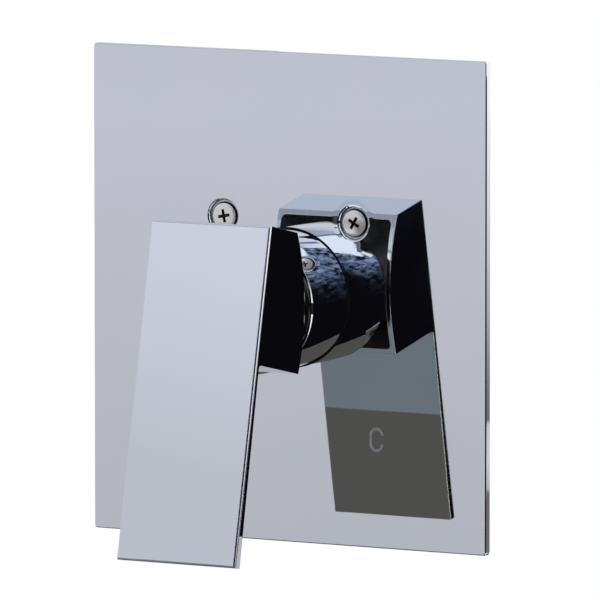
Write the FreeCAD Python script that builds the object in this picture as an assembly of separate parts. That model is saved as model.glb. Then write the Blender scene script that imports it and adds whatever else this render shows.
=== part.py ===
import FreeCAD, Part
import math
import os

# Concealed single-lever shower valve. Millimetres.
# Origin: valve axis on the finished wall. +X to the right, +Z up, -Y out of the wall.

# Face plate: a pressed sheet with a folded rim
plate_width = 174.0
plate_height = 190.0
plate_depth = 3.0
plate_sheet = 1.2
plate_corner_radius = 1.2
plate_edge_radius = 0.5

# Dished screw seats of the plate
screw_x = 28.8
screw_z = 30.2
dish_radius = 6.3
dish_depth = 1.6
dish_lip = 0.8
dish_floor_edge = 0.3
dish_back_spread = 0.9

# Plate screws
screw_head_radius = 5.1
screw_head_rim = 0.9
screw_head_dome = 0.6
screw_radius = 2.45
screw_length = 34.0
screw_hole_gap = 0.35
screw_point = 1.2

# Foam gasket inside the rim
gasket_width = 8.0
gasket_gap = 0.5

# Sleeve around the cartridge
sleeve_radius = 27.0
sleeve_wall = 1.5
sleeve_reach = 29.2
sleeve_tail = 2.5
sleeve_collar_length = 12.0
sleeve_edge = 0.6
sleeve_foot_edge = 0.12
sleeve_lip_radius = 15.5
sleeve_lip = 1.4
sleeve_shoulder = 0.7
sleeve_thread_gap = 0.1

# Rubber ring between sleeve and plate
seal_lip = 0.5
seal_thickness = 0.5
seal_gap = 0.05
seal_flange_width = 3.0
seal_flange = 1.0

# Valve body: nose through the wall, barrel behind it
nose_radius = 22.5
nose_reach = 24.0
barrel_radius = 25.0
barrel_front = 6.0
barrel_back = 46.0
barrel_edge = 2.5
floor_depth = 1.0
body_bore_gap = 0.25
nut_thread_radius = 19.5
nut_thread_gap = 0.1
nut_thread_length = 4.0

# Pipe connections of the body, hot and cold at the sides, outlets above and below
pipe_depth = 30.0
port_reach = 52.0
port_length = 18.0
port_flats = 27.0
port_chamfer = 1.5
port_bore_radius = 9.3
port_thread_length = 15.0
arm_radius = 11.0
waterway_radius = 5.0
outlet_waterway_radius = 4.5
inlet_waterway_end = 7.0

# Posts for the plate screws and ears that fix the body
post_radius = 6.0
post_front = 12.0
post_length = 18.0
post_bore_gap = 0.1
web_thickness = 7.0
ear_radius = 7.5
ear_thickness = 5.0
ear_hole_radius = 2.75

# Plug of the unused tub outlet
plug_gap = 0.08
plug_thread_length = 12.0
plug_head_radius = 12.6
plug_head_height = 3.0
plug_head_chamfer = 0.6
plug_socket_flats = 8.0
plug_socket_depth = 7.0
washer_thickness = 1.5
washer_radius = 12.0

# Cartridge base with its ports and pegs
cartridge_radius = 17.45
base_flange = 2.0
base_height = 5.0
base_spigot_gap = 0.1
port_x = 9.0
inlet_port_z = -4.5
mixed_port_z = 9.5
port_radius = 3.4
port_seal_wall = 1.5
port_seal_gap = 0.05
peg_radius = 2.0
peg_length = 3.5
peg_x = 12.4
peg_z = 6.2
peg_gap = 0.1

# Cartridge housing with its neck
housing_wall = 2.05
housing_shoulder = 2.5
neck_radius = 13.4
neck_wall = 1.5
neck_length = 7.0
notch_depth = 2.2

# Ceramic discs
fixed_disc_radius = 15.0
fixed_disc_thickness = 3.0
disc_notch_width = 4.0
disc_notch_depth = 1.6
disc_notch_gap = 0.1
moving_disc_radius = 12.4
moving_disc_thickness = 3.5
disc_face_gap = 0.05
recess_radius = 10.8
recess_depth = 1.8
closed_overlap = 0.5

# Carrier that slides the moving disc
carrier_radius = 13.0
carrier_thickness = 4.5
carrier_key_half_width = 10.5
carrier_key_height = 2.5
carrier_slot_depth = 3.5
carrier_tab_width = 4.0
carrier_tab_depth = 1.5
carrier_tab_length = 2.0
carrier_tab_gap = 0.1

# Rotor that turns with the lever
rotor_gap = 0.2
rotor_flange_gap = 0.3
rotor_running_gap = 0.05
rotor_head_radius = 10.5
rotor_head_proud = 0.7
rotor_slot_half_width = 4.15
rotor_slot_half_height = 6.1
rotor_leg_gap = 0.3
rotor_key_gap = 0.2

# Temperature stop on the rotor's head
stop_ring_gap = 0.1
stop_ring_fit = 0.05
stop_ring_radius = 13.2
stop_ring_thickness = 2.0
stop_tab_depth = 1.6
stop_tab_half_angle = 10.0
temperature_range = 45.0
stop_tab_slack = 2.0

# Cartridge nut
nut_flats = 36.0
nut_head = 4.5
nut_chamfer = 1.0
nut_bore_gap = 0.4

# Lever stem, rocking on its pin
pivot_distance = 6.95
stem_rest_tilt = 12.0
stem_width = 8.0
stem_chamfer = 0.8
stem_square_start = 5.0
stem_reach = 36.0
stem_cheek_half_height = 3.5
stem_neck_radius = 2.0
toe_distance = 7.5
toe_radius = 2.6
toe_half_width = 2.6
toe_gap = 0.15
pin_radius = 1.5
pin_gap = 0.05
pin_length_cut = 0.25

# Handle: hollow head and tapering blade, measured along and square to its front face
handle_tilt = 12.0
handle_front_reach = 59.6
handle_top = 34.3
handle_length = 130.6
handle_top_half_width = 26.35
handle_tip_half_width = 26.05
handle_tip_thickness = 3.7
handle_root_thickness = 2.3
head_height = 53.0
head_top_depth = 20.9
head_bottom_depth = 33.0
head_back_bulge = 5.3
head_wall = 1.9
head_front_wall = 4.0
head_inner_radius = 2.0
handle_edge_radius = 0.9
handle_crotch_radius = 1.5

# Boss, socket and set screw inside the head
boss_radius = 8.6
boss_start = 19.0
socket_gap = 0.05
socket_end_gap = 1.0
set_screw_distance = 29.5
set_screw_radius = 2.45
set_screw_length = 8.0
set_screw_gap = 0.05
set_screw_boss_radius = 5.0
plug_hole_radius = 3.2
plug_hole_gap = 0.05
plug_hole_depth = 1.8

# One overrun serves every cut
overrun = 1.0

# Straight steps that make up the rounding of a turned edge
rounding_steps = 4

X_AXIS = FreeCAD.Vector(1, 0, 0)
Y_AXIS = FreeCAD.Vector(0, 1, 0)
Z_AXIS = FreeCAD.Vector(0, 0, 1)
ORIGIN = FreeCAD.Vector(0, 0, 0)
HALF_TURN = 180.0
QUARTER_TURN = HALF_TURN / 2
HEX_SIDES = 6

# Places along the valve axis, worked out from the sizes above
plate_front = -plate_depth
plate_back = plate_front + plate_sheet
dish_floor = plate_front + dish_depth
dish_back = dish_floor + plate_sheet
sleeve_front = plate_front - sleeve_reach
sleeve_back = plate_front + sleeve_tail
sleeve_bore = sleeve_radius - sleeve_wall
sleeve_tail_radius = sleeve_radius - sleeve_shoulder
shoulder_back = plate_front - seal_thickness - seal_gap
seal_bore = sleeve_tail_radius + seal_gap
seal_outside = seal_bore + seal_lip
plate_hole_radius = seal_outside + seal_gap
nose_front = -nose_reach
body_floor = floor_depth
body_bore_radius = cartridge_radius + body_bore_gap
base_top = body_floor - base_height
fixed_disc_top = base_top - fixed_disc_thickness
moving_disc_top = fixed_disc_top - disc_face_gap - moving_disc_thickness
carrier_top = moving_disc_top - carrier_thickness
housing_bore = cartridge_radius - housing_wall
housing_shoulder_front = nose_front + nut_thread_length
housing_shoulder_back = housing_shoulder_front + housing_shoulder
neck_front = housing_shoulder_front - neck_length
neck_bore = neck_radius - neck_wall
rotor_flange_back = carrier_top - rotor_gap
rotor_flange_front = housing_shoulder_back + rotor_gap
rotor_radius = neck_bore - rotor_running_gap
rotor_flange_radius = housing_bore - rotor_flange_gap
stop_ring_back = neck_front - stop_ring_gap
rotor_head_front = stop_ring_back - stop_ring_thickness - rotor_head_proud
pivot_y = carrier_top - pivot_distance
nut_head_front = nose_front - nut_head
disc_rest_z = toe_distance * math.sin(math.radians(stem_rest_tilt))
recess_edge = inlet_port_z + port_radius + closed_overlap
port_spots = [(-port_x, inlet_port_z), (port_x, inlet_port_z), (0, mixed_port_z)]
screw_spots = [(-screw_x, screw_z), (screw_x, screw_z)]
ear_spots = [(-screw_x, -screw_z), (screw_x, -screw_z)]

# Half of the smallest clearance tells two planes apart
fine = seal_gap / 2


def vec(x, y, z):
    return FreeCAD.Vector(x, y, z)


def rod(radius, start, end, x=0.0, z=0.0):
    """Cylinder along Y from start to end, its axis at x, z."""
    return Part.makeCylinder(radius, end - start, vec(x, start, z), Y_AXIS)


def ring(outer, inner, start, end, x=0.0, z=0.0):
    """Tube along Y from start to end."""
    return rod(outer, start, end, x, z).cut(rod(inner, start - overrun, end + overrun, x, z))


def block(x_low, x_high, y_low, y_high, z_low, z_high):
    return Part.makeBox(x_high - x_low, y_high - y_low, z_high - z_low, vec(x_low, y_low, z_low))


def centred_block(half_width, y_low, y_high, half_height, x=0.0, z=0.0):
    return block(x - half_width, x + half_width, y_low, y_high, z - half_height, z + half_height)


def revolved(points, x=0.0, z=0.0):
    """Solid turned about the Y direction through x, z from points of radius and y."""
    corners = [vec(x + radius, y, z) for radius, y in points]
    face = Part.Face(Part.makePolygon(corners + corners[:1]))
    return face.revolve(vec(x, 0, z), Y_AXIS, 2 * HALF_TURN)


def arc_points(radius, y, size, start, end):
    """Points of a rounding about radius and y, between two angles in degrees."""
    points = []
    for step in range(rounding_steps + 1):
        angle = math.radians(start + (end - start) * step / rounding_steps)
        points.append((radius + size * math.cos(angle), y + size * math.sin(angle)))
    return points


def fused(shapes):
    whole = shapes[0].fuse(shapes[1:])
    return whole.removeSplitter()


def rounded(shape, radius, chosen):
    """Fillet of every edge whose middle point and bounding box pass the test."""
    edges = [edge for edge in shape.Edges if chosen(edge)]
    return shape.makeFillet(radius, edges)


def spans(edge, axis_name):
    """True for a straight edge that runs along the named axis."""
    box = edge.BoundBox
    lengths = {"X": box.XLength, "Y": box.YLength, "Z": box.ZLength}
    longest = max(lengths, key=lengths.get)
    straight = edge.Curve.TypeId == "Part::GeomLine"
    return straight and longest == axis_name


def at_y(edge, y):
    """True for an edge that lies in the plane at y."""
    box = edge.BoundBox
    return abs(box.YMin - y) + abs(box.YMax - y) < fine


def save(name, shape):
    shape.exportStep(os.path.join("parts", name + ".step"))


def make_face_plate():
    half_width = plate_width / 2
    half_height = plate_height / 2
    shell = centred_block(half_width, plate_front, 0, half_height)
    shell = rounded(shell, plate_corner_radius, lambda edge: spans(edge, "Y"))
    shell = rounded(shell, plate_edge_radius, lambda edge: at_y(edge, plate_front))
    tray = centred_block(half_width - plate_sheet, plate_back, overrun, half_height - plate_sheet)
    shell = shell.cut(tray)
    seats = []
    dishes = []
    mouth_radius = dish_radius + dish_lip
    mouth = arc_points(mouth_radius, plate_front + dish_lip, dish_lip, -QUARTER_TURN, -HALF_TURN)
    corner = arc_points(dish_radius - dish_floor_edge, dish_floor - dish_floor_edge, dish_floor_edge,
                        0, QUARTER_TURN)
    profile = [(0, plate_front - overrun), (mouth_radius, plate_front - overrun)]
    profile += mouth + corner + [(0, dish_floor)]
    for x, z in screw_spots:
        seats.append(rod(dish_radius + dish_back_spread, plate_back - fine, dish_back, x, z))
        dishes.append(revolved(profile, x, z))
        dishes.append(rod(screw_radius + screw_hole_gap, plate_front, overrun, x, z))
    shell = fused([shell] + seats)
    for dish in dishes:
        shell = shell.cut(dish)
    return shell.cut(rod(plate_hole_radius, plate_front - overrun, overrun))


def make_plate_gasket():
    half_width = plate_width / 2 - plate_sheet - gasket_gap
    half_height = plate_height / 2 - plate_sheet - gasket_gap
    outer = centred_block(half_width, plate_back, 0, half_height)
    inner_half_width = half_width - gasket_width
    inner_half_height = half_height - gasket_width
    return outer.cut(centred_block(inner_half_width, plate_back - overrun, overrun, inner_half_height))


def make_plate_screw(x, z):
    head_back = dish_floor
    rim_front = head_back - screw_head_rim
    dome_front = rim_front - screw_head_dome
    point_start = head_back + screw_length - screw_point
    rim = rod(screw_head_radius, rim_front, head_back, x, z)
    dome_radius = (screw_head_radius ** 2 + screw_head_dome ** 2) / (2 * screw_head_dome)
    ball = Part.makeSphere(dome_radius, vec(x, dome_front + dome_radius, z))
    dome = ball.common(rod(screw_head_radius, dome_front - overrun, rim_front, x, z))
    shank = rod(screw_radius, head_back, point_start, x, z)
    point_radius = screw_radius - screw_point
    point = Part.makeCone(screw_radius, point_radius, screw_point, vec(x, point_start, z), Y_AXIS)
    return fused([rim, dome, shank, point])


def make_plate_screws():
    return Part.makeCompound([make_plate_screw(x, z) for x, z in screw_spots])


def make_sleeve():
    collar_front = sleeve_back - sleeve_collar_length
    thread_radius = nose_radius + sleeve_thread_gap
    lip_back = sleeve_front + sleeve_lip
    foot = [(sleeve_tail_radius, sleeve_back), (sleeve_tail_radius, shoulder_back),
            (sleeve_radius - sleeve_foot_edge, shoulder_back),
            (sleeve_radius, shoulder_back - sleeve_foot_edge)]
    front = arc_points(sleeve_radius - sleeve_edge, sleeve_front + sleeve_edge, sleeve_edge,
                       0, -QUARTER_TURN)
    inside = [(sleeve_lip_radius, sleeve_front), (sleeve_lip_radius, lip_back), (sleeve_bore, lip_back),
              (sleeve_bore, collar_front), (thread_radius, collar_front), (thread_radius, sleeve_back)]
    return revolved(foot + front + inside)


def make_sleeve_seal():
    flange = plate_hole_radius + seal_flange_width
    flange_front = plate_back + seal_gap
    flange_back = flange_front + seal_flange
    lip_front = plate_front - seal_thickness
    return revolved([(seal_bore, lip_front), (seal_outside, lip_front), (seal_outside, flange_front),
                     (flange, flange_front), (flange, flange_back), (seal_bore, flange_back)])


def hex_prism(flats, start, end, direction, chamfer):
    """Hexagonal boss along a direction from the origin, its outer end chamfered."""
    corner = flats / 2 / math.cos(math.radians(HALF_TURN / HEX_SIDES))
    turn = 2 * HALF_TURN / HEX_SIDES
    corners = []
    for number in range(HEX_SIDES + 1):
        angle = math.radians(turn * number + turn / 2)
        corners.append(vec(corner * math.sin(angle), corner * math.cos(angle), start))
    prism = Part.Face(Part.makePolygon(corners)).extrude(Z_AXIS * (end - start))
    body = Part.makeCylinder(corner, end - start - chamfer, Z_AXIS * start, Z_AXIS)
    tip = Part.makeCone(corner, corner - chamfer, chamfer, Z_AXIS * (end - chamfer), Z_AXIS)
    prism = prism.common(body.fuse(tip))
    prism.Placement = FreeCAD.Placement(ORIGIN, FreeCAD.Rotation(Z_AXIS, direction))
    return prism


def pipe_arm(direction):
    """Arm from the barrel to one connection, with its hexagonal end."""
    centre = Y_AXIS * pipe_depth
    hex_start = port_reach - port_length
    arm = Part.makeCylinder(arm_radius, hex_start + overrun, centre, direction)
    end = hex_prism(port_flats, hex_start, port_reach, direction, port_chamfer)
    end.translate(centre)
    return [arm, end]


def pipe_bore(direction, waterway, waterway_start):
    centre = Y_AXIS * pipe_depth
    thread_start = port_reach - port_thread_length
    thread_end = port_reach + overrun
    thread = Part.makeCylinder(port_bore_radius, thread_end - thread_start,
                               centre + direction * thread_start, direction)
    bore = Part.makeCylinder(waterway, thread_end - waterway_start,
                             centre + direction * waterway_start, direction)
    return [thread, bore]


def radial_web(x, z, y_low, y_high, reach_cut=0.0):
    """Flat web from the barrel's axis out to the spot at x, z."""
    reach = math.hypot(x, z) - reach_cut
    web = block(0, reach, y_low, y_high, -web_thickness / 2, web_thickness / 2)
    web.rotate(ORIGIN, Y_AXIS, -math.degrees(math.atan2(z, x)))
    return web


def make_valve_body():
    barrel = revolved([(0, barrel_front), (barrel_radius, barrel_front),
                       (barrel_radius, barrel_back - barrel_edge),
                       (barrel_radius - barrel_edge, barrel_back), (0, barrel_back)])
    solids = [barrel, rod(nose_radius, nose_front, barrel_front + overrun)]
    directions = [X_AXIS, -X_AXIS, Z_AXIS, -Z_AXIS]
    for direction in directions:
        solids += pipe_arm(direction)
    post_back = post_front + post_length
    for x, z in screw_spots:
        solids.append(rod(post_radius, post_front, post_back, x, z))
        solids.append(radial_web(x, z, post_front + overrun, post_back - overrun))
    ear_front = barrel_back - ear_thickness
    for x, z in ear_spots:
        solids.append(rod(ear_radius, ear_front, barrel_back, x, z))
        solids.append(radial_web(x, z, post_front + overrun, ear_front + overrun, ear_radius))
        solids.append(radial_web(x, z, ear_front, barrel_back))
    body = fused(solids)
    cuts = [rod(body_bore_radius, nose_front - overrun, body_floor),
            rod(nut_thread_radius + nut_thread_gap, nose_front - overrun, housing_shoulder_front)]
    for x, z in port_spots:
        cuts.append(rod(port_radius, body_floor - overrun, pipe_depth, x, z))
    peg_hole_end = body_floor + peg_length + peg_gap
    for x in (-peg_x, peg_x):
        cuts.append(rod(peg_radius + peg_gap, body_floor - overrun, peg_hole_end, x, peg_z))
    cuts += pipe_bore(X_AXIS, waterway_radius, inlet_waterway_end)
    cuts += pipe_bore(-X_AXIS, waterway_radius, inlet_waterway_end)
    cuts += pipe_bore(Z_AXIS, outlet_waterway_radius, 0)
    cuts += pipe_bore(-Z_AXIS, outlet_waterway_radius, 0)
    for x, z in screw_spots:
        cuts.append(rod(screw_radius + post_bore_gap, post_front - overrun, post_back + overrun, x, z))
    for x, z in ear_spots:
        cuts.append(rod(ear_hole_radius, ear_front - overrun, barrel_back + overrun, x, z))
    return body.cut(cuts)


def port_rod(radius, start, end):
    """Cylinder up the tub outlet's axis from start to end."""
    return Part.makeCylinder(radius, end - start, vec(0, pipe_depth, start), Z_AXIS)


def make_tub_port_plug():
    head_top = -port_reach - washer_thickness
    head_end = head_top - plug_head_height
    rim_radius = plug_head_radius - plug_head_chamfer
    thread = port_rod(port_bore_radius - plug_gap, head_top, -port_reach + plug_thread_length)
    head = port_rod(plug_head_radius, head_end + plug_head_chamfer, head_top)
    rim_centre = vec(0, pipe_depth, head_end)
    rim = Part.makeCone(rim_radius, plug_head_radius, plug_head_chamfer, rim_centre, Z_AXIS)
    socket = hex_prism(plug_socket_flats, -head_end - plug_socket_depth, -head_end + overrun, -Z_AXIS, fine)
    socket.translate(Y_AXIS * pipe_depth)
    return fused([thread, head, rim]).cut(socket)


def make_plug_washer():
    start = -port_reach - washer_thickness
    hole = port_rod(port_bore_radius, start - overrun, -port_reach + overrun)
    return port_rod(washer_radius, start, -port_reach).cut(hole)


def make_cartridge_base():
    spigot_radius = housing_bore - base_spigot_gap
    flange = rod(cartridge_radius, body_floor - base_flange, body_floor)
    spigot = rod(spigot_radius, base_top, body_floor - fine)
    peg_end = body_floor + peg_length
    pegs = [rod(peg_radius, body_floor - fine, peg_end, x, peg_z) for x in (-peg_x, peg_x)]
    base = fused([flange, spigot] + pegs)
    lug_half = disc_notch_width / 2 - disc_notch_gap
    lug_low = fixed_disc_radius - disc_notch_depth + disc_notch_gap
    lug_front = fixed_disc_top + disc_notch_depth
    lugs = block(-spigot_radius, spigot_radius, lug_front, base_top + fine, -lug_half, lug_half)
    lugs = lugs.common(ring(spigot_radius, lug_low, lug_front, base_top + fine))
    base = fused([base] + lugs.Solids)
    hole_radius = port_radius + port_seal_wall + port_seal_gap
    holes = [rod(hole_radius, base_top - overrun, body_floor + overrun, x, z) for x, z in port_spots]
    return base.cut(holes)


def make_port_seals():
    """Rubber tubes through the base, from the body's floor to the fixed disc."""
    outer = port_radius + port_seal_wall
    return Part.makeCompound([ring(outer, port_radius, base_top, body_floor, x, z) for x, z in port_spots])


def make_cartridge_housing():
    shell_back = body_floor - base_flange
    shell = revolved([(housing_bore, shell_back), (cartridge_radius, shell_back),
                      (cartridge_radius, housing_shoulder_front),
                      (neck_radius, housing_shoulder_front), (neck_radius, neck_front),
                      (neck_bore, neck_front), (neck_bore, housing_shoulder_back),
                      (housing_bore, housing_shoulder_back)])
    half_angle = temperature_range + stop_tab_half_angle + stop_tab_slack
    notch = wedge(neck_radius + overrun, neck_front - overrun, neck_front + notch_depth, half_angle)
    return shell.cut(notch)


def wedge(radius, start, end, half_angle):
    """Sector of a disc about the valve axis, centred on +Z."""
    sector = Part.makeCylinder(radius, end - start, vec(0, start, 0), Y_AXIS, 2 * half_angle)
    # The sector starts at a fixed side of the axis, so it is turned until its middle lies on +Z
    middle = sector.CenterOfMass
    angle = math.degrees(math.atan2(middle.x, middle.z))
    sector.rotate(ORIGIN, Y_AXIS, -angle)
    return sector


def make_fixed_disc():
    start = fixed_disc_top - overrun
    end = base_top + overrun
    reach = fixed_disc_radius + overrun
    notch_half = disc_notch_width / 2
    notches = block(-reach, reach, start, end, -notch_half, notch_half)
    cuts = [notches.common(ring(reach, fixed_disc_radius - disc_notch_depth, start, end))]
    for x, z in port_spots:
        cuts.append(rod(port_radius, start, end, x, z))
    return rod(fixed_disc_radius, fixed_disc_top, base_top).cut(cuts)


def carrier_tabs(half_width, tab_low, end):
    """Two tabs from the carrier that reach into the moving disc, or the notches that take them."""
    start = moving_disc_top - fine
    low = disc_rest_z - carrier_radius
    bar = block(-half_width, half_width, start, end, low, low + 2 * carrier_radius)
    return bar.common(ring(carrier_radius, tab_low, start, end, 0, disc_rest_z))


def make_moving_disc():
    back = fixed_disc_top - disc_face_gap
    recess_front = back - recess_depth
    disc = rod(moving_disc_radius, moving_disc_top, back, 0, disc_rest_z)
    recess = rod(recess_radius, recess_front, back + overrun, 0, disc_rest_z)
    recess = recess.common(block(-recess_radius, recess_radius, recess_front, back + overrun,
                                 recess_edge, disc_rest_z + recess_radius))
    notches = carrier_tabs(carrier_tab_width / 2 + carrier_tab_gap,
                           carrier_radius - carrier_tab_depth - carrier_tab_gap,
                           moving_disc_top + carrier_tab_length + carrier_tab_gap)
    return disc.cut([recess, notches])


def make_disc_carrier():
    plate = rod(carrier_radius, carrier_top, moving_disc_top, 0, disc_rest_z)
    step_end = carrier_top + carrier_key_height
    step = rod(carrier_radius + overrun, carrier_top - overrun, step_end, 0, disc_rest_z)
    key = centred_block(carrier_key_half_width, carrier_top - 2 * overrun, step_end + overrun,
                        carrier_radius + overrun, 0, disc_rest_z)
    tabs = carrier_tabs(carrier_tab_width / 2, carrier_radius - carrier_tab_depth,
                        moving_disc_top + carrier_tab_length)
    carrier = fused([plate.cut(step.cut(key))] + tabs.Solids)
    slot = centred_block(toe_half_width + toe_gap, carrier_top - overrun, carrier_top + carrier_slot_depth,
                         toe_radius + toe_gap, 0, disc_rest_z)
    return carrier.cut(slot)


def make_spindle_rotor():
    flange = rod(rotor_flange_radius, rotor_flange_front, rotor_flange_back)
    neck = rod(rotor_radius, stop_ring_back, rotor_flange_front + fine)
    head = rod(rotor_head_radius, rotor_head_front, stop_ring_back + fine)
    leg_start = rotor_flange_back - fine
    leg_end = carrier_top + carrier_key_height - rotor_key_gap
    between = carrier_key_half_width + rotor_leg_gap
    legs = rod(rotor_flange_radius, leg_start, leg_end)
    legs = legs.cut(centred_block(between, leg_start - overrun, leg_end + overrun, rotor_flange_radius))
    rotor = fused([flange, neck, head] + legs.Solids)
    slot = centred_block(rotor_slot_half_width, rotor_head_front - overrun, rotor_flange_back + overrun,
                         rotor_slot_half_height)
    pin_hole = Part.makeCylinder(pin_radius + pin_gap, 2 * rotor_radius + 2 * overrun,
                                 vec(-rotor_radius - overrun, pivot_y, 0), X_AXIS)
    return rotor.cut([slot, pin_hole])


def make_lever_pin():
    half = rotor_radius - pin_length_cut
    return Part.makeCylinder(pin_radius, 2 * half, vec(-half, pivot_y, 0), X_AXIS)


def make_temperature_stop_ring():
    back = stop_ring_back
    tab_end = back + stop_tab_depth
    band = ring(stop_ring_radius, rotor_head_radius + stop_ring_fit, back - stop_ring_thickness, back)
    tab = wedge(neck_radius - stop_ring_fit, back - fine, tab_end, stop_tab_half_angle)
    tab = tab.cut(rod(neck_bore + stop_ring_fit, back - overrun, tab_end + overrun))
    return fused([band, tab])


def make_cartridge_nut():
    bore = neck_radius + nut_bore_gap
    thread = rod(nut_thread_radius, nose_front - fine, housing_shoulder_front)
    head = hex_prism(nut_flats, -nose_front, -nut_head_front, -Y_AXIS, nut_chamfer)
    return fused([thread, head]).cut(rod(bore, nut_head_front - overrun, housing_shoulder_front + overrun))


def stem_frame(shape):
    """Place a shape drawn along -Y from the pivot on the resting stem's axis."""
    shape.rotate(ORIGIN, X_AXIS, stem_rest_tilt)
    shape.translate(Y_AXIS * pivot_y)
    return shape


def make_lever_stem():
    half = stem_width / 2
    square = centred_block(half, -stem_reach, -stem_square_start, half)
    square = square.makeChamfer(stem_chamfer, [edge for edge in square.Edges if spans(edge, "Y")])
    cheek_start = -stem_square_start - overrun
    cheek = centred_block(half, cheek_start, stem_cheek_half_height, stem_cheek_half_height)
    neck = rod(stem_neck_radius, 0, toe_distance)
    toe = Part.makeCylinder(toe_radius, 2 * toe_half_width, vec(-toe_half_width, toe_distance, 0), X_AXIS)
    stem = fused([square, cheek, neck, toe])
    hole_start = vec(-half - overrun, 0, 0)
    hole = Part.makeCylinder(pin_radius + pin_gap, stem_width + 2 * overrun, hole_start, X_AXIS)
    return stem_frame(stem.cut(hole))


def handle_frame(shape):
    """Tilt a shape drawn below the head's top front edge and move it to its place."""
    shape.rotate(ORIGIN, X_AXIS, -handle_tilt)
    shape.translate(vec(0, plate_front - handle_front_reach, handle_top))
    return shape


def handle_half_width(distance):
    share = distance / handle_length
    return handle_top_half_width + (handle_tip_half_width - handle_top_half_width) * share


def handle_outline(inset, top, bottom, depth):
    """Tapering front outline between two distances down the face, drawn depth thick."""
    corners = [vec(side * (handle_half_width(distance) - inset), -overrun, -distance)
               for side, distance in ((-1, top), (1, top), (1, bottom), (-1, bottom))]
    face = Part.Face(Part.makePolygon(corners + corners[:1]))
    return face.extrude(Y_AXIS * (depth + overrun))


def handle_solid():
    """Side profile of head and blade, as wide as the front outline."""
    top_back = vec(0, head_top_depth, 0)
    bottom_back = vec(0, head_bottom_depth, -head_height)
    chord = bottom_back - top_back
    outward = vec(0, -chord.z, chord.y)
    outward.normalize()
    bulge = (top_back + bottom_back) / 2 + outward * head_back_bulge
    crotch = vec(0, handle_root_thickness, -head_height)
    tip_back = vec(0, handle_tip_thickness, -handle_length)
    tip_front = vec(0, 0, -handle_length)
    edges = [Part.makeLine(ORIGIN, top_back),
             Part.Arc(top_back, bulge, bottom_back).toShape(),
             Part.makeLine(bottom_back, crotch),
             Part.makeLine(crotch, tip_back),
             Part.makeLine(tip_back, tip_front),
             Part.makeLine(tip_front, ORIGIN)]
    profile = Part.Face(Part.Wire(edges))
    profile.translate(X_AXIS * -handle_top_half_width)
    solid = profile.extrude(X_AXIS * (2 * handle_top_half_width))
    solid = solid.common(handle_outline(0.0, 0.0, handle_length, head_bottom_depth + head_back_bulge))

    def in_crotch(edge):
        middle = edge.BoundBox.Center
        return abs(middle.z + head_height) < fine and abs(middle.y - handle_root_thickness) < fine

    def in_front(edge):
        return at_y(edge, 0)

    solid = rounded(solid, handle_crotch_radius, in_crotch)
    return rounded(solid, handle_edge_radius, in_front)


def head_cavity():
    depth = head_bottom_depth + head_back_bulge + overrun
    room = handle_outline(head_wall, head_wall, head_height - head_wall, depth)
    room = rounded(room, head_inner_radius, lambda edge: spans(edge, "Y"))
    front = centred_block(handle_top_half_width, -2 * overrun, head_front_wall, handle_length)
    return room.cut(front)


def set_screw_rod(radius, start, end):
    """Rod square to the stem, from start to end below its axis."""
    return Part.makeCylinder(radius, end - start, vec(0, -set_screw_distance, -start), -Z_AXIS)


def make_handle_set():
    """Handle, set screw and the plug of its hole, which share one bore."""
    outside = handle_frame(handle_solid())
    cavity = handle_frame(head_cavity())
    boss_end = boss_start + handle_front_reach
    boss = stem_frame(rod(boss_radius, -boss_end, -boss_start)).common(outside)
    screw_boss_end = head_height
    screw_boss = stem_frame(set_screw_rod(set_screw_boss_radius, 0, screw_boss_end)).common(outside)
    handle = fused([outside.cut(cavity), boss, screw_boss])
    socket_half = stem_width / 2 + socket_gap
    socket_end = stem_reach + socket_end_gap
    socket = stem_frame(centred_block(socket_half, -socket_end, -boss_start + overrun, socket_half))
    bore_radius = set_screw_radius + set_screw_gap
    bore = stem_frame(set_screw_rod(bore_radius, 0, screw_boss_end))
    handle = handle.cut([socket, bore])
    screw_start = stem_width / 2 + socket_gap
    screw = stem_frame(set_screw_rod(set_screw_radius, screw_start, screw_start + set_screw_length))
    mouth = plug_mouth(outside)
    hole = stem_frame(set_screw_rod(plug_hole_radius, mouth - plug_hole_depth, screw_boss_end))
    handle = handle.cut(hole)
    plug_radius = plug_hole_radius - plug_hole_gap
    plug = stem_frame(set_screw_rod(plug_radius, mouth - plug_hole_depth, screw_boss_end)).common(outside)
    return handle, screw, plug


def plug_mouth(outside):
    """Distance from the stem's axis to the head's lower face, along the set screw."""
    probe = stem_frame(set_screw_rod(fine, 0, handle_length)).common(outside)
    axis_point = vec(0, -set_screw_distance, 0)
    start = stem_frame(Part.Vertex(axis_point)).Point
    return max(start.distanceToPoint(vertex.Point) for vertex in probe.Vertexes)


def main():
    os.makedirs("parts", exist_ok=True)
    save("face_plate", make_face_plate())
    save("plate_gasket", make_plate_gasket())
    save("plate_screws", make_plate_screws())
    save("sleeve", make_sleeve())
    save("sleeve_seal", make_sleeve_seal())
    save("valve_body", make_valve_body())
    save("tub_port_plug", make_tub_port_plug())
    save("plug_washer", make_plug_washer())
    save("cartridge_nut", make_cartridge_nut())
    save("cartridge_housing", make_cartridge_housing())
    save("cartridge_base", make_cartridge_base())
    save("port_seals", make_port_seals())
    save("fixed_disc", make_fixed_disc())
    save("moving_disc", make_moving_disc())
    save("disc_carrier", make_disc_carrier())
    save("spindle_rotor", make_spindle_rotor())
    save("lever_pin", make_lever_pin())
    save("temperature_stop_ring", make_temperature_stop_ring())
    save("lever_stem", make_lever_stem())
    handle, set_screw, screw_plug = make_handle_set()
    save("lever_handle", handle)
    save("handle_set_screw", set_screw)
    save("handle_screw_plug", screw_plug)


main()
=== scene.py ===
import math

import bmesh
import bpy
from mathutils import Matrix, Vector


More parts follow.
